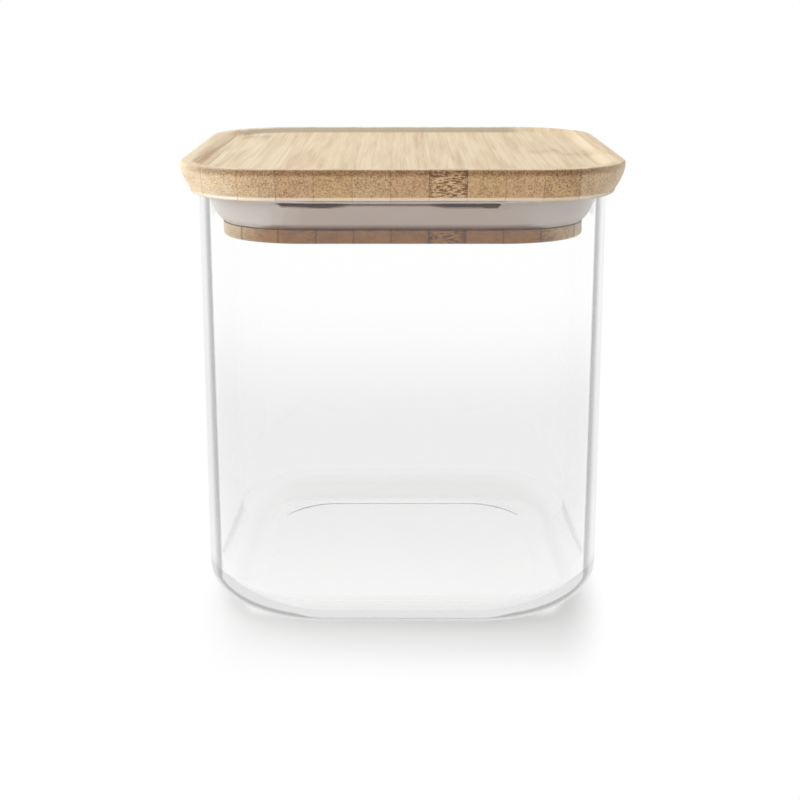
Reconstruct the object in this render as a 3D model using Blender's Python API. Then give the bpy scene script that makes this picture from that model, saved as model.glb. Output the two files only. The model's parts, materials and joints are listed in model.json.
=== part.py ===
"""A square glass storage jar with a bamboo lid and a silicone sealing ring.

The jar is one blown and pressed glass body with soft corners and a rounded heel. The lid is
milled from one edge-glued bamboo blank: a board with a shallow stacking tray on top and a
grooved plug below. The ring sits in the plug's groove. Metres, +Z up, the origin on the
surface that the jar stands on, under the middle of its base. The staves run along Y.
"""

import math

import bmesh
import bpy

# Jar
JAR_WIDTH = 0.100
JAR_HEIGHT = 0.1050
JAR_CORNER = 0.031
WALL = 0.0022
BASE_THICKNESS = 0.0038
HEEL_RUN = 0.0104
HEEL_RISE = 0.0083
FLOOR_FILLET_RUN = 0.0088
FLOOR_FILLET_RISE = 0.0062
BEARING_WIDTH = 0.0045
PUSH_UP = 0.0007
PUSH_UP_RUN = 0.0016

# Lid board
LID_OVERHANG = 0.0028
LID_CORNER = 0.0223
BOARD_THICKNESS = 0.0076
EDGE_TAPER = 0.0022
EDGE_CURVE_SHARE = 1.6
ARRIS_ROUND = 0.0005
UNDER_ROUND = 0.0011
RIM_WIDTH = 0.0022
TRAY_SLOPE = 0.0045
TRAY_DEPTH = 0.0012

# Lid plug and the groove round it
PLUG_CLEARANCE = 0.0043
PLUG_CORNER = 0.0200
PLUG_DEPTH = 0.0107
FOOT_HEIGHT = 0.0032
LAND_HEIGHT = 0.0012
GROOVE_DEPTH = 0.002
FOOT_ROUND = 0.0006

# Staves of the laminated blank, full ones between two that the saw cut narrower
STAVE_COUNT = 13
LEFT_STRIP = 0.0068
RIGHT_STRIP = 0.00365
GLUE_LINE = 0.0001
LEAST_STRIP = 0.0014
CUT_OVERRUN = 0.005

# Sealing ring
SEAL_LIP_DEPTH = 0.0008
SEAL_FOOT_STEP = 0.0004
SEAL_SHOULDER = 0.0011
SEAL_ROUND = 0.0003

# Running clearances
REST_GAP = 0.0003
GROOVE_GAP = 0.0003
WALL_GAP = 0.0003

# Facets
CORNER_STEPS = 12
HEEL_STEPS = 8
RIM_STEPS = 6
ROUND_STEPS = 3
EDGE_STEPS = 5
LEAST_CORNER = 0.001
SHARP_ANGLE = math.radians(35)

JAR_HALF = JAR_WIDTH / 2
LID_HALF = JAR_HALF + LID_OVERHANG
PLUG_HALF = JAR_HALF - WALL - PLUG_CLEARANCE
NECK_HALF = PLUG_HALF - GROOVE_DEPTH
LID_SEAT = JAR_HEIGHT + REST_GAP


def new_collection(name):
    collection = bpy.data.collections.new(name)
    bpy.context.scene.collection.children.link(collection)
    return collection


def material(name, colour, roughness, transmission=0.0, ior=1.45):
    made = bpy.data.materials.new(name)
    made.use_nodes = True
    shader = made.node_tree.nodes["Principled BSDF"]
    shader.inputs["Base Color"].default_value = (*colour, 1.0)
    shader.inputs["Roughness"].default_value = roughness
    shader.inputs["Metallic"].default_value = 0.0
    shader.inputs["Transmission Weight"].default_value = transmission
    shader.inputs["IOR"].default_value = ior
    return made


def rounded_square(half, corner):
    """The outline's points, one arc to each corner, anticlockwise from the +X side."""
    corner = max(corner, LEAST_CORNER)
    centre = half - corner
    points = []
    for quadrant, (side_x, side_y) in enumerate(((1, 1), (-1, 1), (-1, -1), (1, -1))):
        for step in range(CORNER_STEPS + 1):
            angle = math.pi / 2 * (quadrant + step / CORNER_STEPS)
            points.append(
                (
                    side_x * centre + corner * math.cos(angle),
                    side_y * centre + corner * math.sin(angle),
                )
            )
    return points


def loft(name, stations, endless=False):
    """A closed mesh through rounded squares, each station (half width, corner radius, height)."""
    bm = bmesh.new()
    rings = [
        [bm.verts.new((x, y, height)) for x, y in rounded_square(half, corner)]
        for half, corner, height in stations
    ]
    pairs = list(zip(rings, rings[1:]))
    if endless:
        pairs.append((rings[-1], rings[0]))
    for low, high in pairs:
        count = len(low)
        for i in range(count):
            j = (i + 1) % count
            bm.faces.new((low[i], low[j], high[j], high[i]))
    if not endless:
        bm.faces.new(rings[0])
        bm.faces.new(rings[-1])
    bmesh.ops.recalc_face_normals(bm, faces=bm.faces)
    mesh = bpy.data.meshes.new(name)
    bm.to_mesh(mesh)
    bm.free()
    mesh.shade_smooth()
    mesh.set_sharp_from_angle(angle=SHARP_ANGLE)
    return mesh


def add_object(name, mesh, collection, finish, parent=None):
    made = bpy.data.objects.new(name, mesh)
    made.data.materials.append(finish)
    made.parent = parent
    collection.objects.link(made)
    return made


def quarter(start, end, level_first, steps):
    """(half, height) points on a quarter ellipse, leaving start along its level or upright tangent."""
    points = []
    for step in range(steps + 1):
        angle = math.pi / 2 * step / steps
        rise, turn = math.sin(angle), 1 - math.cos(angle)
        along, up = (rise, turn) if level_first else (turn, rise)
        points.append(
            (start[0] + (end[0] - start[0]) * along, start[1] + (end[1] - start[1]) * up)
        )
    return points


def parallel(points, half, corner):
    """Stations that keep their outlines parallel to the rounded square of this half and corner."""
    return [(at, corner - (half - at), height) for at, height in points]


def jar_mesh():
    """The glass, in one run of outlines: under the base, up the outside, over the rim and down."""
    bearing = JAR_HALF - HEEL_RUN
    inner = JAR_HALF - WALL
    bead = WALL / 2
    bead_height = JAR_HEIGHT - bead
    outline = [
        (bearing - BEARING_WIDTH - PUSH_UP_RUN, PUSH_UP),
        (bearing - BEARING_WIDTH, 0.0),
    ]
    outline += quarter((bearing, 0.0), (JAR_HALF, HEEL_RISE), True, HEEL_STEPS)
    for step in range(RIM_STEPS + 1):
        angle = math.pi * step / RIM_STEPS
        outline.append(
            (JAR_HALF - bead + bead * math.cos(angle), bead_height + bead * math.sin(angle))
        )
    outline += quarter(
        (inner, BASE_THICKNESS + FLOOR_FILLET_RISE),
        (inner - FLOOR_FILLET_RUN, BASE_THICKNESS),
        False,
        HEEL_STEPS,
    )
    return loft("glass_jar", parallel(outline, JAR_HALF, JAR_CORNER))


def lid_blank_mesh():
    """The glued and milled blank before it is shared out into staves, its underside at zero."""
    plug = quarter(
        (PLUG_HALF - FOOT_ROUND, -PLUG_DEPTH),
        (PLUG_HALF, FOOT_ROUND - PLUG_DEPTH),
        True,
        ROUND_STEPS,
    )
    plug += [
        (PLUG_HALF, FOOT_HEIGHT - PLUG_DEPTH),
        (NECK_HALF, FOOT_HEIGHT - PLUG_DEPTH),
        (NECK_HALF, -LAND_HEIGHT),
        (PLUG_HALF, -LAND_HEIGHT),
        (PLUG_HALF, 0.0),
    ]
    low = LID_HALF - EDGE_TAPER
    board = quarter((low - UNDER_ROUND, 0.0), (low, UNDER_ROUND), True, ROUND_STEPS)
    edge_height = BOARD_THICKNESS - ARRIS_ROUND - UNDER_ROUND
    for step in range(1, EDGE_STEPS):
        below = 1 - step / EDGE_STEPS
        board.append(
            (
                LID_HALF - EDGE_TAPER * below**EDGE_CURVE_SHARE,
                BOARD_THICKNESS - ARRIS_ROUND - edge_height * below,
            )
        )
    board += quarter(
        (LID_HALF, BOARD_THICKNESS - ARRIS_ROUND),
        (LID_HALF - ARRIS_ROUND, BOARD_THICKNESS),
        False,
        ROUND_STEPS,
    )
    board += [
        (LID_HALF - RIM_WIDTH, BOARD_THICKNESS),
        (LID_HALF - RIM_WIDTH - TRAY_SLOPE, BOARD_THICKNESS - TRAY_DEPTH),
    ]
    stations = parallel(plug, PLUG_HALF, PLUG_CORNER)
    stations += parallel(board, LID_HALF, LID_CORNER)
    return loft("lid_blank", stations)


def joint_places():
    """Where the glue lines lie across X. None falls in the groove, where a foot would come loose."""
    first = LEFT_STRIP - LID_HALF
    pitch = (LID_HALF - RIGHT_STRIP - first) / (STAVE_COUNT - 2)
    places = []
    for number in range(STAVE_COUNT - 1):
        place = first + number * pitch
        distance = abs(place)
        if NECK_HALF - LEAST_STRIP < distance < PLUG_HALF + GLUE_LINE:
            distance = NECK_HALF - LEAST_STRIP
        places.append(math.copysign(distance, place))
    return places


def add_slab(name, low, high, collection, parent):
    """The cutter that keeps one stave's share of the blank."""
    bpy.ops.mesh.primitive_cube_add(size=1.0)
    slab = bpy.context.object
    slab.name = name
    slab.data.name = name
    depth = 2 * (LID_HALF + CUT_OVERRUN)
    height = PLUG_DEPTH + BOARD_THICKNESS + 2 * CUT_OVERRUN
    middle = (BOARD_THICKNESS - PLUG_DEPTH) / 2
    for vertex in slab.data.vertices:
        vertex.co.x = (low + high) / 2 + vertex.co.x * (high - low)
        vertex.co.y = vertex.co.y * depth
        vertex.co.z = middle + vertex.co.z * height
    for owner in list(slab.users_collection):
        owner.objects.unlink(slab)
    collection.objects.link(slab)
    slab.parent = parent
    slab.hide_render = True
    slab.display_type = "WIRE"
    return slab


def add_staves(parts, cutters, lift, finishes):
    """One object for each stave: the whole blank, cut back to the strip between two glue lines."""
    blank = lid_blank_mesh()
    outside = LID_HALF + CUT_OVERRUN
    edges = [-outside] + joint_places() + [outside]
    for number, (low, high) in enumerate(zip(edges, edges[1:]), start=1):
        name = f"lid_stave_{number:02d}"
        low_face = low if low == -outside else low + GLUE_LINE / 2
        high_face = high if high == outside else high - GLUE_LINE / 2
        slab = add_slab(f"slab_{number:02d}", low_face, high_face, cutters, lift)
        finish = finishes[number % len(finishes)]
        stave = add_object(name, blank.copy(), parts, finish, lift)
        cut = stave.modifiers.new("strip", "BOOLEAN")
        cut.operation = "INTERSECT"
        cut.solver = "EXACT"
        cut.object = slab


def seal_mesh():
    """The sealing ring: a lip that wipes the glass, tapering in to the foot of the plug."""
    inner = NECK_HALF + GROOVE_GAP
    lip = JAR_HALF - WALL - WALL_GAP
    lip_corner = JAR_CORNER - WALL - WALL_GAP
    top = -LAND_HEIGHT - GROOVE_GAP
    bottom = FOOT_HEIGHT - PLUG_DEPTH + GROOVE_GAP
    foot = PLUG_HALF + SEAL_FOOT_STEP
    shoulder = foot + SEAL_SHOULDER
    outside = [
        (foot - SEAL_ROUND, bottom),
        (foot, bottom + SEAL_ROUND),
        (shoulder, bottom + SEAL_SHOULDER),
        ((shoulder + lip) / 2, (bottom + SEAL_SHOULDER + top - SEAL_LIP_DEPTH) / 2),
        (lip, top - SEAL_LIP_DEPTH),
        (lip, top - SEAL_ROUND),
        (lip - SEAL_ROUND, top),
    ]
    spread = (lip_corner - PLUG_CORNER) / (lip - PLUG_HALF)
    stations = [(inner, PLUG_CORNER - (PLUG_HALF - inner), bottom)]
    stations += [(at, PLUG_CORNER + spread * (at - PLUG_HALF), height) for at, height in outside]
    stations.append((inner, PLUG_CORNER - (PLUG_HALF - inner), top))
    return loft("silicone_seal", stations, endless=True)


def main():
    for old in list(bpy.data.objects):
        bpy.data.objects.remove(old, do_unlink=True)
    parts = new_collection("storage_jar")
    cutters = new_collection("cutters")

    glass = material("jar_glass", (0.96, 0.98, 0.97), 0.02, transmission=1.0, ior=1.5)
    bamboo = [
        material("bamboo_pale", (0.80, 0.62, 0.40), 0.55),
        material("bamboo_warm", (0.74, 0.54, 0.33), 0.55),
        material("bamboo_deep", (0.68, 0.48, 0.28), 0.55),
    ]
    silicone = material("milky_silicone", (0.62, 0.56, 0.53), 0.45, transmission=0.3, ior=1.41)

    add_object("glass_jar", jar_mesh(), parts, glass)

    lift = bpy.data.objects.new("lid_lift", None)
    lift.location = (0.0, 0.0, LID_SEAT)
    parts.objects.link(lift)
    add_staves(parts, cutters, lift, bamboo)
    add_object("silicone_seal", seal_mesh(), parts, silicone, lift)


main()
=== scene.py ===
"""Looks for a square glass storage jar with a bamboo lid and a silicone sealing ring.

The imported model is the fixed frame. Each section below dresses one piece, in the order in which
the jar goes together: the glass, the bamboo staves of the lid, the sealing ring, then the studio.
Metres, +Z up, the front towards -Y. The staves of the lid run along Y.
"""

import json
import math

import bmesh
import bpy
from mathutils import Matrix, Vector

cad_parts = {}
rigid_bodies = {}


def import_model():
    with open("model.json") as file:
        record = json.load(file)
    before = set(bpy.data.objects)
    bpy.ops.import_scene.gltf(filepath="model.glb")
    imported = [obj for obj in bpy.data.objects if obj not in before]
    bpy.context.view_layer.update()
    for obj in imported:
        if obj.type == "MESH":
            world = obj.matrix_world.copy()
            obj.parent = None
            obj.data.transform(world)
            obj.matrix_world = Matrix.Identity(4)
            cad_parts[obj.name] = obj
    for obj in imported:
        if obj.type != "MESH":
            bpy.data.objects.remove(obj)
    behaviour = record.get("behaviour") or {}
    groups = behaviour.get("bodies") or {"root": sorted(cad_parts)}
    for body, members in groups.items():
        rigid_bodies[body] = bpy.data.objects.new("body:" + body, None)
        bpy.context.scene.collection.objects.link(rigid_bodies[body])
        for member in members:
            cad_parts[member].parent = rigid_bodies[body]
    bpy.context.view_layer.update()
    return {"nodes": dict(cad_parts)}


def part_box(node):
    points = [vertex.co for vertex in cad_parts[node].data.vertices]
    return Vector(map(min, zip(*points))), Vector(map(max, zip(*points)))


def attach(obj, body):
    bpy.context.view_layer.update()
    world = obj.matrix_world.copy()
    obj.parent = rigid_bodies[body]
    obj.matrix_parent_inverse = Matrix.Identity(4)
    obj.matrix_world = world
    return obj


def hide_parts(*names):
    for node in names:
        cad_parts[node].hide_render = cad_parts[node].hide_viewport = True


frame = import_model()

# Limits for picking faces and edges and for joining points, then how full a rounding is and from
# what angle an edge stays sharp.
STRAIGHT = 0.999
UPRIGHT = 0.1
SAME_LEVEL = 1e-6
ROUND_PROFILE = 0.5
SHARP_DEGREES = 35

# Glass body
# One piece of clear glass, blown in a square mould with soft corners and a rounded heel. The
# rim is fire-polished, its edges rounded, and the base is pushed up inside its bearing ring.

JAR_LOW, JAR_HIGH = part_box("glass_jar")
JAR_WIDTH = JAR_HIGH.x - JAR_LOW.x
JAR_HEIGHT = JAR_HIGH.z
JAR_CORNER = 0.031
JAR_CORNER_STEPS = 28
WALL = 0.0022
RIM_ROUND = 0.0003
RIM_STEPS = 12
HEEL_RUN = 0.0104
HEEL_RISE = 0.0083
HEEL_STEPS = 14
BEARING_WIDTH = 0.0045
PUSH_UP = 0.0007
PUSH_UP_RUN = 0.0016
BASE_THICKNESS = 0.0038
FLOOR_FILLET_RUN = 0.0088
FLOOR_FILLET_RISE = 0.0062
GLASS_IOR = 1.5
GLASS_TINT = (0.86, 0.865, 0.86, 1.0)
GLASS_DENSITY = 8.0
GLASS_SHADE = (0.86, 0.86, 0.86, 1.0)
CLEAR = (1.0, 1.0, 1.0, 1.0)
# Painted shade: the grey of the line where the glass turns away from the eye.
GLASS_EDGE_SHADE = (0.20, 0.20, 0.20, 1.0)
# Painted shade: the outer faces of the glass turn greyer towards the bottom.
GLASS_LOW_SHADE = (0.85, 0.85, 0.85, 1.0)
LOW_SHADE_RISES = (-0.004, 0.042)
LOW_SHADE_FADES = (0.050, 0.084, 1.0, 0.0)
# Painted light: rays that have bounced more than this many times end in a glow of this strength.
TRAPPED_AFTER = 8.0
TRAPPED_LIGHT = 0.81
OUTSIDE_REACH = 0.01

# The line of painted shade where the glass curves away from the eye: how slanted the glass is
# where the line starts, how soft its sides are, and how it shifts and fades round the heel.
LINE_SLANT = 0.595
LINE_SOFTNESS = 0.035
LINE_FADES = (0.66, 0.78, 1.0, 0.3)
LINE_ON_CURVES = (0.02, 0.12)
LINE_SHIFT = (0.045, -0.13)
LINE_AT_FOOT = (0.005, 0.040, 0.85, 1.0)
CORNER_TURN = (0.0, 0.20)
HEEL_SPAN = (0.003, 0.009, 1.0, 0.0)


def start_primitive(name, size, middle):
    """A box of this size at this place, alone in the selection and in edit mode."""
    bpy.ops.object.select_all(action="DESELECT")
    bpy.ops.mesh.primitive_cube_add(size=1.0)
    piece = bpy.context.object
    piece.name = name
    piece.data.name = name
    piece.scale = size
    piece.location = middle
    bpy.ops.object.transform_apply(location=True, rotation=True, scale=True)
    bpy.ops.object.mode_set(mode="EDIT")
    bpy.ops.mesh.select_mode(type="FACE")
    bpy.ops.mesh.select_all(action="DESELECT")
    return piece


def select_facing(piece, direction):
    """Selects the faces that look straight along a direction, and nothing else."""
    mesh = bmesh.from_edit_mesh(piece.data)
    for face in mesh.faces:
        face.select_set(face.normal.dot(Vector(direction)) > STRAIGHT)
    bmesh.update_edit_mesh(piece.data)


def round_upright_edges(piece, radius, steps):
    """Rounds the four edges that stand upright."""
    bpy.ops.mesh.select_mode(type="EDGE")
    mesh = bmesh.from_edit_mesh(piece.data)
    for edge in mesh.edges:
        run = edge.verts[1].co - edge.verts[0].co
        edge.select_set(abs(run.normalized().z) > STRAIGHT)
    bmesh.update_edit_mesh(piece.data)
    bpy.ops.mesh.bevel(offset=radius, segments=steps, profile=ROUND_PROFILE)
    bpy.ops.mesh.select_mode(type="FACE")


def step_face(inward, upward):
    """Carries the selected face in by one distance, leaving a band of faces behind it, and up."""
    bpy.ops.mesh.inset(thickness=inward, depth=0.0, use_even_offset=True, use_boundary=True)
    bpy.ops.transform.translate(value=(0.0, 0.0, upward))


def follow_quarter(run, rise, steps, level_first):
    """Carries the selected face along a quarter of an ellipse."""
    done_in, done_up = 0.0, 0.0
    for step in range(1, steps + 1):
        angle = math.pi / 2 * step / steps
        early, late = math.sin(angle), 1 - math.cos(angle)
        share_in, share_up = (early, late) if level_first else (late, early)
        step_face(run * share_in - done_in, rise * share_up - done_up)
        done_in, done_up = run * share_in, rise * share_up


def finish_mesh(piece):
    """Closes the edit, shades the curved faces smooth and keeps the flat ones flat."""
    bpy.ops.mesh.select_all(action="DESELECT")
    bpy.ops.object.mode_set(mode="OBJECT")
    bpy.ops.object.shade_smooth_by_angle(angle=math.radians(SHARP_DEGREES))
    weighted = piece.modifiers.new("flat_faces_lead", "WEIGHTED_NORMAL")
    weighted.keep_sharp = True
    bpy.ops.object.modifier_apply(modifier=weighted.name)


def copy_of(source, name):
    """A copy of an object, alone in the selection."""
    bpy.ops.object.select_all(action="DESELECT")
    source.select_set(True)
    bpy.context.view_layer.objects.active = source
    bpy.ops.object.duplicate()
    made = bpy.context.object
    made.name = name
    made.data.name = name
    return made


wall_top = JAR_HEIGHT - RIM_ROUND
glass_body = start_primitive(
    "glass_body",
    (JAR_WIDTH, JAR_WIDTH, wall_top - HEEL_RISE),
    (0.0, 0.0, (wall_top + HEEL_RISE) / 2),
)
round_upright_edges(glass_body, JAR_CORNER, JAR_CORNER_STEPS)

select_facing(glass_body, (0, 0, -1))
follow_quarter(HEEL_RUN, -HEEL_RISE, HEEL_STEPS, False)
step_face(BEARING_WIDTH, 0.0)
step_face(PUSH_UP_RUN, PUSH_UP)

select_facing(glass_body, (0, 0, 1))
follow_quarter(RIM_ROUND, RIM_ROUND, RIM_STEPS, False)
step_face(WALL - 2 * RIM_ROUND, 0.0)
follow_quarter(RIM_ROUND, -RIM_ROUND, RIM_STEPS, True)
bpy.ops.mesh.extrude_region_move(
    TRANSFORM_OT_translate={
        "value": (0.0, 0.0, BASE_THICKNESS + FLOOR_FILLET_RISE - wall_top)
    }
)
follow_quarter(FLOOR_FILLET_RUN, -FLOOR_FILLET_RISE, HEEL_STEPS, False)
finish_mesh(glass_body)


def new_material(name):
    """A material with its shader, and the lists that its nodes and links go in."""
    made = bpy.data.materials.new(name)
    made.use_nodes = True
    tree = made.node_tree
    return made, tree.nodes, tree.links, tree.nodes["Principled BSDF"]


class Wiring:
    """Short ways to add nodes to one node tree and link them."""

    def __init__(self, tree):
        self.nodes, self.links = tree.nodes, tree.links

    def feed(self, socket, value):
        if isinstance(value, bpy.types.NodeSocket):
            self.links.new(value, socket)
        else:
            socket.default_value = value

    def math(self, operation, first, second=0.0, clamp=False):
        node = self.nodes.new("ShaderNodeMath")
        node.operation, node.use_clamp = operation, clamp
        self.feed(node.inputs[0], first)
        self.feed(node.inputs[1], second)
        return node.outputs[0]

    def total(self, first, *others):
        """The sum of these values, kept between 0 and 1."""
        for other in others:
            first = self.math("ADD", first, other)
        return self.ramp(first, 0.0, 1.0, straight=True)

    def stretch(self, vector, sizes):
        """The place measured in these sizes along X, Y and Z."""
        node = self.nodes.new("ShaderNodeMapping")
        self.feed(node.inputs["Vector"], vector)
        node.inputs["Scale"].default_value = [1 / size for size in sizes]
        return node.outputs["Vector"]

    def noise(self, vector, detail=2.0, roughness=0.5):
        """Cloudy noise, one cloud to a unit of the place."""
        node = self.nodes.new("ShaderNodeTexNoise")
        self.feed(node.inputs["Vector"], vector)
        node.inputs["Scale"].default_value = 1.0
        node.inputs["Detail"].default_value = detail
        node.inputs["Roughness"].default_value = roughness
        return node.outputs["Fac"]

    def ramp(self, value, low, high, to_low=0.0, to_high=1.0, straight=False):
        """Eases from one value to another while the input goes from low to high."""
        node = self.nodes.new("ShaderNodeMapRange")
        node.interpolation_type = "LINEAR" if straight else "SMOOTHSTEP"
        for label, given in (
            ("Value", value),
            ("From Min", low),
            ("From Max", high),
            ("To Min", to_low),
            ("To Max", to_high),
        ):
            self.feed(node.inputs[label], given)
        return node.outputs["Result"]

    def blend(self, share, first, second, mode="MIX"):
        node = self.nodes.new("ShaderNodeMix")
        node.data_type, node.blend_type = "RGBA", mode
        node.clamp_factor = True
        self.feed(node.inputs[0], share)
        self.feed(node.inputs[6], first)
        self.feed(node.inputs[7], second)
        return node.outputs[2]

    def split(self, vector):
        node = self.nodes.new("ShaderNodeSeparateXYZ")
        self.feed(node.inputs["Vector"], vector)
        return node.outputs["X"], node.outputs["Y"], node.outputs["Z"]

    def join(self, x, y, z=0.0):
        node = self.nodes.new("ShaderNodeCombineXYZ")
        for label, given in (("X", x), ("Y", y), ("Z", z)):
            self.feed(node.inputs[label], given)
        return node.outputs["Vector"]


jar_glass, nodes, links, shader = new_material("jar_glass")
wire = Wiring(jar_glass.node_tree)
shader.inputs["Roughness"].default_value = 0.0
shader.inputs["IOR"].default_value = GLASS_IOR
shader.inputs["Transmission Weight"].default_value = 1.0
coordinates = nodes.new("ShaderNodeTexCoord")
outward = nodes.new("ShaderNodeVectorMath")
outward.operation = "DOT_PRODUCT"
flat_place = nodes.new("ShaderNodeVectorMath")
flat_place.operation = "MULTIPLY"
flat_place.inputs[1].default_value = (1.0, 1.0, 0.0)
links.new(coordinates.outputs["Object"], flat_place.inputs[0])
links.new(coordinates.outputs["Normal"], outward.inputs[0])
links.new(flat_place.outputs["Vector"], outward.inputs[1])
outside = wire.math("GREATER_THAN", outward.outputs["Value"], OUTSIDE_REACH)
slant = nodes.new("ShaderNodeLayerWeight").outputs["Facing"]
facing = wire.split(coordinates.outputs["Normal"])
round_corner = wire.math("ABSOLUTE", wire.math("MULTIPLY", facing[0], facing[1]))
height = wire.split(coordinates.outputs["Object"])[2]
at_corner = wire.ramp(round_corner, *CORNER_TURN)
shift = wire.ramp(at_corner, 0.0, 1.0, *LINE_SHIFT, straight=True)
shift = wire.math("MULTIPLY", shift, wire.ramp(height, *HEEL_SPAN))
line_start = wire.math("ADD", shift, LINE_SLANT)
# Painted shade: a grey line on the outer face where the glass turns away from the eye.
painted_edge_shade = wire.math(
    "MULTIPLY",
    wire.ramp(slant, line_start, wire.math("ADD", line_start, LINE_SOFTNESS)),
    wire.ramp(slant, *LINE_FADES),
)
curved = wire.math("MAXIMUM", round_corner, wire.math("ABSOLUTE", facing[2]))
painted_edge_shade = wire.math("MULTIPLY", painted_edge_shade, wire.ramp(curved, *LINE_ON_CURVES))
painted_edge_shade = wire.math("MULTIPLY", painted_edge_shade, wire.ramp(height, *LINE_AT_FOOT))
# Painted shade, greyer towards the bottom, on the outer faces only.
low_shade_share = wire.math(
    "MULTIPLY", wire.ramp(height, *LOW_SHADE_FADES), wire.ramp(height, *LOW_SHADE_RISES)
)
low = wire.blend(low_shade_share, CLEAR, GLASS_LOW_SHADE)
low = wire.blend(outside, CLEAR, low)
painted_edge_shade = wire.math("MULTIPLY", painted_edge_shade, outside)
wire.feed(shader.inputs["Base Color"], wire.blend(painted_edge_shade, low, GLASS_EDGE_SHADE))
body_colour = nodes.new("ShaderNodeVolumeAbsorption")
body_colour.inputs["Color"].default_value = GLASS_TINT
body_colour.inputs["Density"].default_value = GLASS_DENSITY
light_through = nodes.new("ShaderNodeBsdfTransparent")
light_through.inputs["Color"].default_value = GLASS_SHADE
path = nodes.new("ShaderNodeLightPath")
either = nodes.new("ShaderNodeMixShader")
links.new(path.outputs["Is Shadow Ray"], either.inputs["Fac"])
links.new(shader.outputs["BSDF"], either.inputs[1])
links.new(light_through.outputs["BSDF"], either.inputs[2])
# Painted light: the glass glows where rays stay trapped in it, in place of the light it pipes.
painted_glow = nodes.new("ShaderNodeEmission")
painted_glow.inputs["Strength"].default_value = TRAPPED_LIGHT
trapped = nodes.new("ShaderNodeMixShader")
deep = wire.math("GREATER_THAN", path.outputs["Ray Depth"], TRAPPED_AFTER)
not_shadow = wire.math("SUBTRACT", 1.0, path.outputs["Is Shadow Ray"])
links.new(wire.math("MULTIPLY", deep, not_shadow), trapped.inputs["Fac"])
links.new(either.outputs["Shader"], trapped.inputs[1])
links.new(painted_glow.outputs["Emission"], trapped.inputs[2])
output = nodes["Material Output"]
links.new(trapped.outputs["Shader"], output.inputs["Surface"])
links.new(body_colour.outputs["Volume"], output.inputs["Volume"])

glass_body.data.materials.append(jar_glass)
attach(glass_body, "jar")
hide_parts("glass_jar")

# Bamboo staves of the lid
# Strips of bamboo culm, planed, glued edge to edge and milled as one board with a shallow tray
# on top and a grooved plug below. Their ends show at the front and back as dark dots, their
# long fibres on top and underneath, and here and there a node of the culm crosses a stave.

STAVE_NAMES = sorted(name for name in frame["nodes"] if name.startswith("lid_stave"))
LID_HALF = max(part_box(name)[1].y for name in STAVE_NAMES)
LID_TOP = max(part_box(name)[1].z for name in STAVE_NAMES)
PLUG_FOOT = min(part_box(name)[0].z for name in STAVE_NAMES)
BOARD_THICKNESS = 0.0076
LID_CORNER = 0.0223
LID_CORNER_STEPS = 24
EDGE_TAPER = 0.0022
EDGE_CURVE_SHARE = 1.6
EDGE_STEPS = 10
ARRIS_ROUND = 0.0005
ARRIS_STEPS = 5
UNDER_ROUND = 0.0011
UNDER_STEPS = 8
RIM_WIDTH = 0.0022
TRAY_SLOPE = 0.0045
TRAY_DEPTH = 0.0012
TRAY_STEPS = 8
PLUG_HALF = 0.0435
PLUG_CORNER = 0.020
FOOT_HEIGHT = 0.0032
LAND_HEIGHT = 0.0012
GROOVE_DEPTH = 0.002
FOOT_ROUND = 0.0006
JOINT_OVERLAP = 0.001


def select_edges_at(piece, level):
    """Selects the edges that lie at one level, and nothing else."""
    bpy.ops.mesh.select_all(action="DESELECT")
    bpy.ops.mesh.select_mode(type="EDGE")
    mesh = bmesh.from_edit_mesh(piece.data)
    for edge in mesh.edges:
        edge.select_set(all(abs(vertex.co.z - level) < SAME_LEVEL for vertex in edge.verts))
    bmesh.update_edit_mesh(piece.data)


board_under = LID_TOP - BOARD_THICKNESS
land_under = board_under - LAND_HEIGHT
plug = start_primitive(
    "lid_plug",
    (2 * PLUG_HALF, 2 * PLUG_HALF, board_under + JOINT_OVERLAP - PLUG_FOOT),
    (0.0, 0.0, (board_under + JOINT_OVERLAP + PLUG_FOOT) / 2),
)
round_upright_edges(plug, PLUG_CORNER, LID_CORNER_STEPS)
groove_low, groove_high = PLUG_FOOT + FOOT_HEIGHT, land_under
for level in (groove_low, groove_high):
    bpy.ops.mesh.select_all(action="SELECT")
    bpy.ops.mesh.bisect(plane_co=(0.0, 0.0, level), plane_no=(0.0, 0.0, 1.0))
bpy.ops.mesh.select_mode(type="FACE")
mesh = bmesh.from_edit_mesh(plug.data)
for face in mesh.faces:
    face.select_set(
        abs(face.normal.z) < UPRIGHT and groove_low < face.calc_center_median().z < groove_high
    )
bmesh.update_edit_mesh(plug.data)
bpy.ops.mesh.extrude_region_shrink_fatten(
    TRANSFORM_OT_shrink_fatten={"value": -GROOVE_DEPTH, "use_even_offset": True}
)
select_edges_at(plug, PLUG_FOOT)
bpy.ops.mesh.bevel(offset=FOOT_ROUND, segments=ARRIS_STEPS, profile=ROUND_PROFILE)
bpy.ops.object.mode_set(mode="OBJECT")

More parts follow.
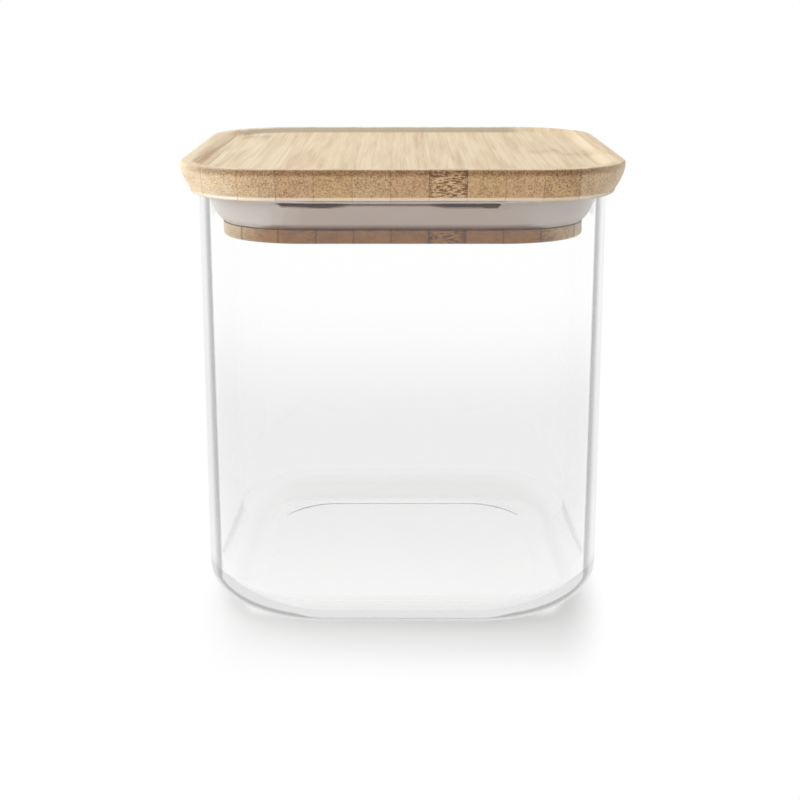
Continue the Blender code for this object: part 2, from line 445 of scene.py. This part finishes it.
blank = start_primitive(
    "lid_blank",
    (2 * LID_HALF, 2 * LID_HALF, ARRIS_ROUND),
    (0.0, 0.0, LID_TOP - 1.5 * ARRIS_ROUND),
)
round_upright_edges(blank, LID_CORNER, LID_CORNER_STEPS)
select_facing(blank, (0, 0, -1))
edge_run = BOARD_THICKNESS - 2 * ARRIS_ROUND - UNDER_ROUND
done = 0.0
for step in range(1, EDGE_STEPS + 1):
    inward = EDGE_TAPER * (step / EDGE_STEPS) ** EDGE_CURVE_SHARE
    step_face(inward - done, -edge_run / EDGE_STEPS)
    done = inward
follow_quarter(UNDER_ROUND, -UNDER_ROUND, UNDER_STEPS, False)
select_facing(blank, (0, 0, 1))
follow_quarter(ARRIS_ROUND, ARRIS_ROUND, ARRIS_STEPS, False)
step_face(RIM_WIDTH - ARRIS_ROUND, 0.0)
done = 0.0
for step in range(1, TRAY_STEPS + 1):
    share = step / TRAY_STEPS
    fall = TRAY_DEPTH * share * share * (3 - 2 * share)
    step_face(TRAY_SLOPE / TRAY_STEPS, done - fall)
    done = fall
bpy.ops.object.mode_set(mode="OBJECT")

union = blank.modifiers.new("plug", "BOOLEAN")
union.operation = "UNION"
union.solver = "EXACT"
union.object = plug
bpy.ops.object.modifier_apply(modifier=union.name)
bpy.data.objects.remove(plug, do_unlink=True)


def saw_stave(name, low, high):
    """A copy of the blank, sawn off on both sides where its glue lines are."""
    stave = copy_of(blank, name)
    bpy.ops.object.mode_set(mode="EDIT")
    for place, side in ((low, -1.0), (high, 1.0)):
        if place is None:
            continue
        bpy.ops.mesh.select_all(action="SELECT")
        bpy.ops.mesh.bisect(
            plane_co=(place, 0.0, 0.0), plane_no=(side, 0.0, 0.0), clear_outer=True, use_fill=True
        )
    finish_mesh(stave)
    return stave


# The marks of the bamboo and its painted light and shade: their sizes along X, Y and Z, then how
# strongly each one shows. A row of four holds where it starts and ends, and its share at the
# start and at the end.
BUNDLE_PITCH = 0.00058
BUNDLE_SCATTER = 0.9
BUNDLE_WANDER = 0.0004
WANDER_SIZE = (0.004, 0.03, 0.004)
FIBRE_SIZE = (0.00022, 0.016, 0.00022)
STREAK_SIZE = (0.0011, 0.045, 0.0011)
CLOUD_SIZE = (0.0035, 0.05, 0.0035)
GRIT_SIZE = (0.00034, 0.016, 0.00034)
DASH_SIZE = (0.0012, 0.02, 0.00030)
NODE_HALF_WIDTH = 0.0014
NODE_BLUSH_HALF_WIDTH = NODE_HALF_WIDTH * 8
NODE_WAVE = 0.012
NODE_WAVE_SIZE = (0.006, 0.02, 0.006)
GLUE_HALF = 0.00013
NOISE_MIDDLE = 0.5
NO_NODE = 1.0
NO_JOINT = 1.0

BUNDLE_CORE = (0.05, 0.72, 1.0, 0.0)
BUNDLE_STRENGTH = (0.1, 0.95, 0.15, 1.0)
NODE_CORE = (NODE_HALF_WIDTH * 0.3, NODE_HALF_WIDTH, 1.0, 0.0)
NODE_BLUSH = (NODE_HALF_WIDTH, NODE_BLUSH_HALF_WIDTH, 1.0, 0.0)
NODE_BY_CLOUD = (0.35, 0.6)
GLUE_LINE = (GLUE_HALF * 0.4, GLUE_HALF, 1.0, 0.0)
GLUE_ON_FLAT, GLUE_ON_END = 0.14, 0.5
GLUE_ON_PLUG = (0.0, 0.0005, 0.5, 0.0)

FLAT_BUNDLE = 0.20
FLAT_TONE = 0.16
FLAT_NODE = 0.34
FLAT_BLUSH = 0.22
FLAT_FIBRE = (0.42, 0.72, 0.0, 0.14)
FLAT_STREAK = (0.50, 0.75, 0.0, 0.24)
FLAT_CLOUD = (0.35, 0.70, -0.14, 0.24)
# Painted shade, laid along the streaks of the grain, on the tray's slope that faces right.
FLAT_SLOPE_SHADE = (0.40, 0.62, 0.18, 0.60)
# Painted shade, grey, on the tray's back slope that faces front, fading out at the right.
REAR_SHADE_ENDS = (0.030, 0.034, 1.0, 0.05)

END_TONE = 0.20
END_CLOUD = (0.30, 0.75, -0.10, 0.16)
END_GRIT = (0.30, 0.72, -0.20, 0.42)
DASH_STRENGTH = (0.47, 0.61, -0.30, 1.25)
DASH_AT_JOINT = (0.0001, 0.0012, 1.0, 0.0)
DASH_BY_FIBRE = (0.35, 0.6, 0.35, 1.0)
# The ends are darker in a band just under the top edge.
TOP_EDGE_BAND = (0.0009, 0.0019, 0.85, 0.0)
TOP_EDGE_BY_GRIT = (0.35, 0.65, 0.75, 1.1)
# Painted light, cream, on the board's rounded lower edge, as if lit from the table below.
UNDER_LIGHT_SHARE = 0.95
UNDER_LIGHT_BELOW, UNDER_LIGHT_ABOVE = 0.0003, 0.0001
LEVEL_BELOW, LEVEL_ABOVE = -0.0004, -0.0001
# Painted shade on the plug below the board, less towards its left and right ends.
PLUG_LEFT_END = (-0.040, -0.030, 0.3, 1.0)
PLUG_RIGHT_END = (0.030, 0.040, 1.0, 0.0)
FLAT_TINT = 0.15
PLUG_TINT = 0.2
ROUGH_BY_FIBRE = (0.3, 0.7, 0.48, 0.62)
RELIEF_SHARE = 0.5
FLAT_CREAM = (0.80, 0.65, 0.44, 1.0)
FLAT_BROWN = (0.50, 0.31, 0.15, 1.0)
END_TAN = (0.73, 0.49, 0.27, 1.0)
END_BROWN = (0.22, 0.10, 0.034, 1.0)
TOP_EDGE_DARK = (0.48, 0.37, 0.26, 1.0)
# Painted shade on the plug.
PLUG_SHADE = (0.56, 0.37, 0.18, 1.0)
# Painted light on the board's rounded lower edge.
UNDER_EDGE_LIGHT = (0.95, 0.79, 0.62, 1.0)
# Painted shade on the tray's back slope.
REAR_SHADE = (0.46, 0.38, 0.28, 1.0)
# Painted shade on the land between the groove and the board.
GAP_SHADE = (0.26, 0.12, 0.04, 1.0)
GLUE_BROWN = (0.45, 0.36, 0.28, 1.0)


def new_group(name, inputs, outputs):
    """An empty node group with these named sockets: (name, kind, value) and (name, kind)."""
    group = bpy.data.node_groups.new(name, "ShaderNodeTree")
    for label, kind, value in inputs:
        socket = group.interface.new_socket(name=label, in_out="INPUT", socket_type=kind)
        if value is not None:
            socket.default_value = value
    for label, kind in outputs:
        group.interface.new_socket(name=label, in_out="OUTPUT", socket_type=kind)
    return group, group.nodes.new("NodeGroupInput"), group.nodes.new("NodeGroupOutput")


bamboo_grain, given, result = new_group(
    "bamboo_grain",
    [
        ("Place", "NodeSocketVector", None),
        ("Shift", "NodeSocketFloat", 0.0),
        ("End", "NodeSocketFloat", 0.0),
        ("Slope", "NodeSocketFloat", 0.0),
        ("Rear Shade", "NodeSocketFloat", 0.0),
        ("Tone", "NodeSocketFloat", 0.5),
        ("Tint", "NodeSocketColor", (1.0, 1.0, 1.0, 1.0)),
        ("Speckle", "NodeSocketFloat", 0.5),
        ("Dashes", "NodeSocketFloat", 0.0),
        ("Node At", "NodeSocketFloat", NO_NODE),
        ("Left Joint", "NodeSocketFloat", -NO_JOINT),
        ("Right Joint", "NodeSocketFloat", NO_JOINT),
    ],
    [("Color", "NodeSocketColor"), ("Roughness", "NodeSocketFloat"), ("Height", "NodeSocketFloat")],
)
wire = Wiring(bamboo_grain)
place_x, place_y, place_z = wire.split(given.outputs["Place"])
shifted_x = wire.math("ADD", place_x, given.outputs["Shift"])
place = wire.join(shifted_x, place_y, place_z)
end_share, tone = given.outputs["End"], given.outputs["Tone"]

wander = wire.noise(wire.stretch(place, WANDER_SIZE), detail=1.0)
wander = wire.math("MULTIPLY", wire.math("SUBTRACT", wander, NOISE_MIDDLE), BUNDLE_WANDER)
across = wire.join(wire.math("ADD", shifted_x, wander), wire.math("ADD", place_z, wander))
bundles = wire.nodes.new("ShaderNodeTexVoronoi")
bundles.feature = "F1"
bundles.voronoi_dimensions = "2D"
bundles.inputs["Scale"].default_value = 1 / BUNDLE_PITCH
bundles.inputs["Randomness"].default_value = BUNDLE_SCATTER
wire.feed(bundles.inputs["Vector"], across)
bundle_core = wire.ramp(bundles.outputs["Distance"], *BUNDLE_CORE)
bundle_colour = wire.nodes.new("ShaderNodeSeparateColor")
wire.feed(bundle_colour.inputs["Color"], bundles.outputs["Color"])
bundle_strength = wire.ramp(bundle_colour.outputs["Red"], *BUNDLE_STRENGTH)
bundle = wire.math("MULTIPLY", bundle_core, bundle_strength)
fibre = wire.noise(wire.stretch(place, FIBRE_SIZE), detail=3.0, roughness=0.6)
streak = wire.noise(wire.stretch(place, STREAK_SIZE), detail=3.0, roughness=0.55)
cloud = wire.noise(wire.stretch(place, CLOUD_SIZE))
grit = wire.noise(wire.stretch(place, GRIT_SIZE), roughness=0.7)

wave = wire.noise(wire.stretch(place, NODE_WAVE_SIZE), detail=1.0)
wave = wire.math("MULTIPLY", wire.math("SUBTRACT", wave, NOISE_MIDDLE), NODE_WAVE)
node_off = wire.math("SUBTRACT", place_y, given.outputs["Node At"])
node_off = wire.math("ABSOLUTE", wire.math("ADD", node_off, wave))
node_mark = wire.ramp(node_off, *NODE_CORE)
node_mark = wire.math("MULTIPLY", node_mark, wire.ramp(cloud, *NODE_BY_CLOUD))
node_blush = wire.ramp(node_off, *NODE_BLUSH)

to_left = wire.math("ABSOLUTE", wire.math("SUBTRACT", place_x, given.outputs["Left Joint"]))
to_right = wire.math("ABSOLUTE", wire.math("SUBTRACT", place_x, given.outputs["Right Joint"]))
to_joint = wire.math("MINIMUM", to_left, to_right)
glue = wire.ramp(to_joint, *GLUE_LINE)
glue_share = wire.ramp(end_share, 0.0, 1.0, GLUE_ON_FLAT, GLUE_ON_END)
glue = wire.math("MULTIPLY", glue, glue_share)

# The flat faces: grain, tone and nodes, with painted shade in streaks on the slope facing right.
flat_share = wire.total(
    wire.math("MULTIPLY", bundle, FLAT_BUNDLE),
    wire.ramp(fibre, *FLAT_FIBRE),
    wire.ramp(streak, *FLAT_STREAK),
    wire.ramp(cloud, *FLAT_CLOUD),
    wire.math("MULTIPLY", tone, FLAT_TONE),
    wire.math("MULTIPLY", node_blush, FLAT_BLUSH),
    wire.math("MULTIPLY", node_mark, FLAT_NODE),
    wire.math("MULTIPLY", given.outputs["Slope"], wire.ramp(streak, *FLAT_SLOPE_SHADE)),
)
flat_colour = wire.blend(flat_share, FLAT_CREAM, FLAT_BROWN)
# Painted shade on the tray's back slope, fading out at the right.
rear_shade_share = wire.math("MULTIPLY", given.outputs["Rear Shade"], wire.ramp(place_x, *REAR_SHADE_ENDS))

dash = wire.noise(wire.stretch(place, DASH_SIZE))
edge_dark = wire.ramp(to_joint, *DASH_AT_JOINT)
edge_dark = wire.math("MULTIPLY", edge_dark, wire.ramp(fibre, *DASH_BY_FIBRE))
dash = wire.math("ADD", wire.ramp(dash, *DASH_STRENGTH), edge_dark)
brown_share = wire.total(
    wire.math("MULTIPLY", bundle, given.outputs["Speckle"]),
    wire.math("MULTIPLY", dash, given.outputs["Dashes"]),
    wire.ramp(cloud, *END_CLOUD),
    wire.ramp(grit, *END_GRIT),
    wire.math("MULTIPLY", tone, END_TONE),
)
end_colour = wire.blend(brown_share, END_TAN, END_BROWN)
below_top = wire.math("SUBTRACT", LID_TOP, place_z)
# Darker in a band just under the top edge of the ends.
top_edge_share = wire.ramp(below_top, *TOP_EDGE_BAND)
top_edge_share = wire.math("MULTIPLY", top_edge_share, wire.ramp(grit, *TOP_EDGE_BY_GRIT))
end_colour = wire.blend(top_edge_share, end_colour, TOP_EDGE_DARK, "MULTIPLY")
# Painted light on the board's rounded lower edge.
under_edge = board_under + UNDER_ROUND
under_light_low, under_light_high = under_edge - UNDER_LIGHT_BELOW, under_edge + UNDER_LIGHT_ABOVE
under_edge_light = wire.ramp(place_z, under_light_low, under_light_high, UNDER_LIGHT_SHARE, 0.0)
on_board = wire.ramp(place_z, board_under + LEVEL_BELOW, board_under + LEVEL_ABOVE)
under_edge_light = wire.math("MULTIPLY", under_edge_light, on_board)
end_colour = wire.blend(under_edge_light, end_colour, UNDER_EDGE_LIGHT)
# Painted shade on the plug, less towards its ends.
on_plug = wire.ramp(place_z, land_under, board_under, 1.0, 0.0)
plug_left = wire.ramp(place_x, *PLUG_LEFT_END)
plug_right = wire.ramp(place_x, *PLUG_RIGHT_END)
plug_shade_share = wire.math("MULTIPLY", on_plug, wire.math("MINIMUM", plug_left, plug_right))
end_colour = wire.blend(plug_shade_share, end_colour, PLUG_SHADE, "MULTIPLY")

colour = wire.blend(end_share, flat_colour, end_colour)
# Painted shade on the back slope of the tray.
colour = wire.blend(rear_shade_share, colour, REAR_SHADE)
tinted = wire.ramp(end_share, 0.0, 1.0, FLAT_TINT, 1.0)
tinted = wire.math("MULTIPLY", tinted, wire.ramp(on_plug, 0.0, 1.0, 1.0, PLUG_TINT))
colour = wire.blend(tinted, colour, given.outputs["Tint"], "MULTIPLY")
# Painted shade, dark brown, on the land between the groove and the board.
gap_shade = wire.ramp(place_z, land_under + LEVEL_BELOW, land_under + LEVEL_ABOVE)
gap_shade = wire.math("SUBTRACT", gap_shade, on_board)
colour = wire.blend(gap_shade, colour, GAP_SHADE)
plug_glue = wire.math("MULTIPLY", wire.ramp(to_joint, *GLUE_ON_PLUG), on_plug)
glue = wire.total(glue, plug_glue)
wire.feed(result.inputs["Color"], wire.blend(glue, colour, GLUE_BROWN, "MULTIPLY"))
wire.feed(result.inputs["Roughness"], wire.ramp(fibre, *ROUGH_BY_FIBRE))
raised = wire.math("MULTIPLY", fibre, RELIEF_SHARE)
sunk = wire.math("MULTIPLY", bundle, RELIEF_SHARE)
wire.feed(result.inputs["Height"], wire.math("SUBTRACT", raised, sunk))

GOLDEN = (1.0, 0.98, 0.90, 1.0)
PINKISH = (1.0, 0.95, 0.95, 1.0)
PALE = (1.0, 1.0, 1.0, 1.0)
CREAMY = (1.12, 1.25, 1.40, 1.0)
FRESH = (1.07, 1.12, 1.17, 1.0)

# Each stave, left to right: tone, tint, how strong its dots are, how strong its dashes are, and
# where a node crosses it.
STAVE_LOOKS = {
    "01": (0.20, CREAMY, 0.34, 0.0, NO_NODE),
    "02": (0.10, CREAMY, 0.36, 0.0, 0.034),
    "03": (0.20, FRESH, 0.42, 0.0, NO_NODE),
    "04": (0.45, PINKISH, 0.44, 0.0, NO_NODE),
    "05": (0.60, GOLDEN, 0.36, 0.0, NO_NODE),
    "06": (0.20, PALE, 0.50, 0.0, NO_NODE),
    "07": (0.45, PINKISH, 0.40, 0.0, NO_NODE),
    "08": (0.50, PALE, 0.55, 1.0, -0.055),
    "09": (0.55, GOLDEN, 0.36, 0.0, NO_NODE),
    "10": (0.40, PINKISH, 0.40, 0.0, NO_NODE),
    "11": (0.55, GOLDEN, 0.60, 0.0, -0.003),
    "12": (0.45, FRESH, 0.44, 0.0, -0.010),
    "13": (0.30, FRESH, 0.40, 0.0, NO_NODE),
}
STAVE_SHIFT = 0.137
FACES_END = (0.22, 0.98)
FACES_UP = (0.75, 0.9)
FACES_RIGHT = (0.08, 0.28)
FACES_FRONT = (0.08, 0.28, 0.0, 0.85)
GRAIN_STRENGTH = 0.35
GRAIN_DEPTH = 0.0001


def bamboo(name, shift, look, joints):
    """One stave's finish: its own cut of the culm, tone, dots and node."""
    made, nodes, links, shader = new_material(name)
    wire = Wiring(made.node_tree)
    coordinates = nodes.new("ShaderNodeTexCoord")
    facing = wire.split(coordinates.outputs["Normal"])
    grain = nodes.new("ShaderNodeGroup")
    grain.node_tree = bamboo_grain
    links.new(coordinates.outputs["Object"], grain.inputs["Place"])
    links.new(wire.ramp(wire.math("ABSOLUTE", facing[1]), *FACES_END), grain.inputs["End"])
    upward = wire.ramp(facing[2], *FACES_UP)
    # Painted shade on the tray's slope that faces right, and on its back slope that faces front.
    slope_shade = wire.ramp(facing[0], *FACES_RIGHT)
    links.new(wire.math("MULTIPLY", slope_shade, upward), grain.inputs["Slope"])
    rear_shade = wire.ramp(wire.math("MULTIPLY", facing[1], -1.0), *FACES_FRONT)
    links.new(wire.math("MULTIPLY", rear_shade, upward), grain.inputs["Rear Shade"])
    labels = ("Shift", "Tone", "Tint", "Speckle", "Dashes", "Node At", "Left Joint", "Right Joint")
    for label, value in zip(labels, (shift, *look, *joints)):
        grain.inputs[label].default_value = value
    links.new(grain.outputs["Color"], shader.inputs["Base Color"])
    links.new(grain.outputs["Roughness"], shader.inputs["Roughness"])
    relief = nodes.new("ShaderNodeBump")
    relief.inputs["Strength"].default_value = GRAIN_STRENGTH
    relief.inputs["Distance"].default_value = GRAIN_DEPTH
    links.new(grain.outputs["Height"], relief.inputs["Height"])
    links.new(relief.outputs["Normal"], shader.inputs["Normal"])
    return made


neighbours = zip(STAVE_NAMES, STAVE_NAMES[1:])
glue_lines = [(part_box(left)[1].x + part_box(right)[0].x) / 2 for left, right in neighbours]
for number, name in enumerate(STAVE_NAMES):
    low = glue_lines[number - 1] if number else None
    high = glue_lines[number] if number < len(glue_lines) else None
    stave = saw_stave(name.replace("lid", "bamboo"), low, high)
    joints = (-NO_JOINT if low is None else low, NO_JOINT if high is None else high)
    look = STAVE_LOOKS[name[-2:]]
    stave.data.materials.append(bamboo(stave.name, STAVE_SHIFT * number, look, joints))
    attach(stave, "lid")
    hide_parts(name)
bpy.data.objects.remove(blank, do_unlink=True)

# Sealing ring
# A ring of milky silicone, moulded in one piece and stretched into the groove round the plug.
# Its lip stops just short of the glass. It is painted lighter round the corners, as light shining
# through, and painted with shade near its foot and on its upward faces.

SILICONE_GREY = (0.71, 0.58, 0.50, 1.0)
# The milky tone, which is also the painted light round the corners.
SILICONE_MILK_AND_LIGHT = (0.80, 0.74, 0.68, 1.0)
# Painted shade near the foot of the ring.
SILICONE_FOOT_SHADE = (0.20, 0.09, 0.04, 1.0)
# Painted shade under the lid, on the faces that look up.
UNDER_LID_SHADE = (0.26, 0.12, 0.04, 1.0)
# How high the painted shade at the foot reaches, and how it weakens where the ring is lighter.
FOOT_SHADE_HEIGHT = 0.0018
FOOT_SHADE_BY_PALE = (0.3, 0.8, 1.0, 0.2)
MILK_SIZE = (0.02, 0.02, 0.003)
MILK_CLOUDS = (0.4, 0.8, -0.08, 0.12)
# Where the painted light round the corners starts and where it is full.
LIT_CORNERS = (0.03, 0.45)
# Which faces get the painted shade under the lid.
UPPER_FACES = (0.5, 0.9)
SILICONE_ROUGHNESS = 0.38
SILICONE_IOR = 1.41
SILICONE_DEPTH_SHARE = 0.35
SILICONE_DEPTH_COLOUR = (1.0, 0.85, 0.75)
SILICONE_DEPTH = 0.002

# The lip rises to the board at the corners and leaves a slit between: where the ring is cut
# across, and for each move how near to the middle of a side it reaches and how far it goes up.
LIP_COLUMNS = (0.009, 0.013, 0.017, 0.0205, 0.0245, 0.0265)
WHOLE_LIP = 1.0
LIP_MOVES = (
    (WHOLE_LIP, 0.0012),
    (0.0255, -0.00115),
    (0.0110, 0.0005),
)
LIP_SHIFT = 0.003
LIP_BAND = 0.0006
LIP_WIDTH = 0.0020
LIP_CORNER = 0.0285
PANEL_BEND = 0.7
PANEL_SHAPE = 3.1

SEAL_LOW, SEAL_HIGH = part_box("silicone_seal")
seal_ring = copy_of(frame["nodes"]["silicone_seal"], "seal_ring")
bpy.ops.object.parent_clear(type="CLEAR_KEEP_TRANSFORM")
bpy.ops.object.transform_apply(location=True, rotation=True, scale=True)
bpy.ops.object.mode_set(mode="EDIT")
bpy.ops.mesh.select_mode(type="VERT")
bpy.ops.mesh.select_all(action="SELECT")
bpy.ops.mesh.remove_doubles(threshold=SAME_LEVEL)
bpy.ops.mesh.normals_make_consistent(inside=False)
bpy.ops.mesh.tris_convert_to_quads(face_threshold=PANEL_BEND, shape_threshold=PANEL_SHAPE)
for place in LIP_COLUMNS:
    for side in (-1.0, 1.0):
        for across in ((1.0, 0.0, 0.0), (0.0, 1.0, 0.0)):
            bpy.ops.mesh.select_all(action="SELECT")
            cut = Vector(across) * (side * place - LIP_SHIFT)
            bpy.ops.mesh.bisect(plane_co=cut, plane_no=across)
lip_straight = SEAL_HIGH.x - LIP_CORNER
for reach, rise in LIP_MOVES:
    mesh = bmesh.from_edit_mesh(seal_ring.data)
    for vertex in mesh.verts:
        out_x = max(abs(vertex.co.x) - lip_straight, 0.0)
        out_y = max(abs(vertex.co.y) - lip_straight, 0.0)
        at_lip = math.hypot(out_x, out_y) > LIP_CORNER - LIP_WIDTH
        at_lip = at_lip and vertex.co.z > SEAL_HIGH.z - LIP_BAND
        from_middle = min(abs(vertex.co.x + LIP_SHIFT), abs(vertex.co.y + LIP_SHIFT))
        vertex.select_set(at_lip and from_middle < reach)
    mesh.select_flush_mode()
    bmesh.update_edit_mesh(seal_ring.data)
    bpy.ops.transform.translate(value=(0.0, 0.0, rise))
finish_mesh(seal_ring)

milky_silicone, nodes, links, shader = new_material("milky_silicone")
wire = Wiring(milky_silicone.node_tree)
coordinates = nodes.new("ShaderNodeTexCoord")
facing = wire.split(coordinates.outputs["Normal"])
across = wire.math("ABSOLUTE", wire.math("MULTIPLY", facing[0], facing[1]))
milk = wire.noise(wire.stretch(coordinates.outputs["Object"], MILK_SIZE))
# Lighter where the silicone is milkier, and with painted light round the corners.
milk_and_light = wire.total(wire.ramp(across, *LIT_CORNERS), wire.ramp(milk, *MILK_CLOUDS))
milky = wire.blend(milk_and_light, SILICONE_GREY, SILICONE_MILK_AND_LIGHT)
height = wire.split(coordinates.outputs["Object"])[2]
# Painted shade, brown, low on the ring near its foot.
foot_shade = wire.ramp(height, SEAL_LOW.z, SEAL_LOW.z + FOOT_SHADE_HEIGHT, 1.0, 0.0)
foot_shade = wire.math("MULTIPLY", foot_shade, wire.ramp(milk_and_light, *FOOT_SHADE_BY_PALE))
milky = wire.blend(foot_shade, milky, SILICONE_FOOT_SHADE)
# Painted shade, dark brown, on the faces that look up, under the lid.
milky = wire.blend(wire.ramp(facing[2], *UPPER_FACES), milky, UNDER_LID_SHADE)
links.new(milky, shader.inputs["Base Color"])
shader.inputs["Roughness"].default_value = SILICONE_ROUGHNESS
shader.inputs["IOR"].default_value = SILICONE_IOR
shader.inputs["Subsurface Weight"].default_value = SILICONE_DEPTH_SHARE
shader.inputs["Subsurface Radius"].default_value = SILICONE_DEPTH_COLOUR
shader.inputs["Subsurface Scale"].default_value = SILICONE_DEPTH
seal_ring.data.materials.clear()
seal_ring.data.materials.append(milky_silicone)
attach(seal_ring, "lid")
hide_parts("silicone_seal")

# Studio
# A white table that runs out to a white background, a soft lamp high behind on the left and a
# slightly weaker one low at the left. The table keeps the jar's shadow, which falls in front and
# behind.

FLOOR_SIZE = 12.0
FLOOR_DROP = 0.0001
TABLE_WHITE = (0.9, 0.9, 0.9, 1.0)
TABLE_ROUGHNESS = 0.9
GLOW_UNDER = 0.88
GLOW_AT_FOOT = 0.38
GLOW_THROUGH_GLASS = 0.76
FOOT_FLAT_ACROSS = 0.036
FOOT_FLAT_ALONG = 0.019
SIDE_NARROWING = 3.5
SHADOW_START = 0.014
SHADOW_DEEPEST = 0.0225
SHADOW_END = 0.058
SKY_WHITE = (1.0, 1.0, 1.0, 1.0)
SKY_LIGHT = 0.55
KEY_PLACE = (-0.45, 0.50, 0.85)
KEY_SIZE = 0.6
KEY_POWER = 5.5
SIDE_PLACE = (-0.90, -0.30, 0.30)
SIDE_SIZE = 0.5
SIDE_POWER = 4.5
CAMERA_DISTANCE = 0.3714
CAMERA_HEIGHT = 0.1514
CAMERA_PITCH = math.radians(12.87)
PHOTO_SIDE = 800
FOCAL_PIXELS = 1433.0
AXIS_PIXEL_X = 402.7
AXIS_PIXEL_Y = 320.0
SENSOR_WIDTH = 36.0
NEAREST_SEEN = 0.01
GLASS_BOUNCES = 28


def seen_rays(wire):
    """The kinds of ray, and 1 for the rays that show the eye what is here, else 0."""
    kinds = wire.nodes.new("ShaderNodeLightPath").outputs
    seen = wire.math("ADD", kinds["Is Camera Ray"], kinds["Is Glossy Ray"], clamp=True)
    return kinds, wire.math("ADD", seen, kinds["Is Transmission Ray"], clamp=True)


bpy.ops.object.select_all(action="DESELECT")
bpy.ops.mesh.primitive_plane_add(size=FLOOR_SIZE, location=(0.0, 0.0, -FLOOR_DROP))
table = bpy.context.object
table.name = "white_table"

table_white, nodes, links, shader = new_material("table_white")
wire = Wiring(table_white.node_tree)
shader.inputs["Base Color"].default_value = TABLE_WHITE
shader.inputs["Roughness"].default_value = TABLE_ROUGHNESS
shader.inputs["Specular IOR Level"].default_value = 0.0
glow = nodes.new("ShaderNodeEmission")
glow.inputs["Strength"].default_value = 1.0
ray_kinds, seen = seen_rays(wire)
either = nodes.new("ShaderNodeMixShader")
place = wire.split(nodes.new("ShaderNodeTexCoord").outputs["Object"])
beyond = []
for part, flat in ((place[0], FOOT_FLAT_ACROSS), (place[1], FOOT_FLAT_ALONG)):
    past = wire.math("SUBTRACT", wire.math("ABSOLUTE", part), flat)
    beyond.append(wire.math("MAXIMUM", past, 0.0))
beyond[0] = wire.math("MULTIPLY", beyond[0], SIDE_NARROWING)
squares = [wire.math("MULTIPLY", part, part) for part in beyond]
away = wire.math("SQRT", wire.math("ADD", *squares))
seen_straight = ray_kinds["Is Camera Ray"]
at_foot = wire.ramp(seen_straight, 0.0, 1.0, GLOW_THROUGH_GLASS, GLOW_AT_FOOT)
inner = wire.ramp(away, SHADOW_START, SHADOW_DEEPEST, GLOW_UNDER, at_foot)
outer = wire.ramp(away, SHADOW_DEEPEST, SHADOW_END, at_foot, 1.0)
share = wire.math("MAXIMUM", inner, outer)
links.new(wire.math("MULTIPLY", seen, share), either.inputs["Fac"])
links.new(shader.outputs["BSDF"], either.inputs[1])
links.new(glow.outputs["Emission"], either.inputs[2])
links.new(either.outputs["Shader"], nodes["Material Output"].inputs["Surface"])
table.data.materials.append(table_white)

world = bpy.data.worlds.new("studio")
bpy.context.scene.world = world
world.use_nodes = True
wire = Wiring(world.node_tree)
sky = world.node_tree.nodes["Background"]
sky.inputs["Color"].default_value = SKY_WHITE
_, seen = seen_rays(wire)
wire.feed(sky.inputs["Strength"], wire.ramp(seen, 0.0, 1.0, SKY_LIGHT, 1.0))


def soft_lamp(name, place, size, power):
    """A square lamp that faces the lid. It can't be seen in or through the glass."""
    data = bpy.data.lights.new(name, "AREA")
    data.size = size
    data.energy = power
    lamp = bpy.data.objects.new(name, data)
    lamp.location = place
    to_lid = Vector((0.0, 0.0, LID_TOP)) - Vector(place)
    lamp.rotation_euler = to_lid.to_track_quat("-Z", "Y").to_euler()
    lamp.visible_glossy = False
    lamp.visible_transmission = False
    bpy.context.scene.collection.objects.link(lamp)


soft_lamp("key_lamp", KEY_PLACE, KEY_SIZE, KEY_POWER)
soft_lamp("side_lamp", SIDE_PLACE, SIDE_SIZE, SIDE_POWER)

view = bpy.data.cameras.new("photo_view")
view.sensor_width = SENSOR_WIDTH
view.lens = SENSOR_WIDTH * FOCAL_PIXELS / PHOTO_SIDE
view.shift_x = (PHOTO_SIDE / 2 - AXIS_PIXEL_X) / PHOTO_SIDE
view.shift_y = (AXIS_PIXEL_Y - PHOTO_SIDE / 2) / PHOTO_SIDE
view.clip_start = NEAREST_SEEN
camera = bpy.data.objects.new("photo_view", view)
camera.location = (0.0, -CAMERA_DISTANCE, CAMERA_HEIGHT)
camera.rotation_euler = (math.pi / 2 - CAMERA_PITCH, 0.0, 0.0)
bpy.context.scene.collection.objects.link(camera)
bpy.context.scene.camera = camera
bpy.context.scene.view_settings.view_transform = "Standard"
bpy.context.scene.cycles.max_bounces = GLASS_BOUNCES
bpy.context.scene.cycles.glossy_bounces = GLASS_BOUNCES
bpy.context.scene.cycles.transmission_bounces = GLASS_BOUNCES
bpy.context.scene.cycles.transparent_max_bounces = GLASS_BOUNCES
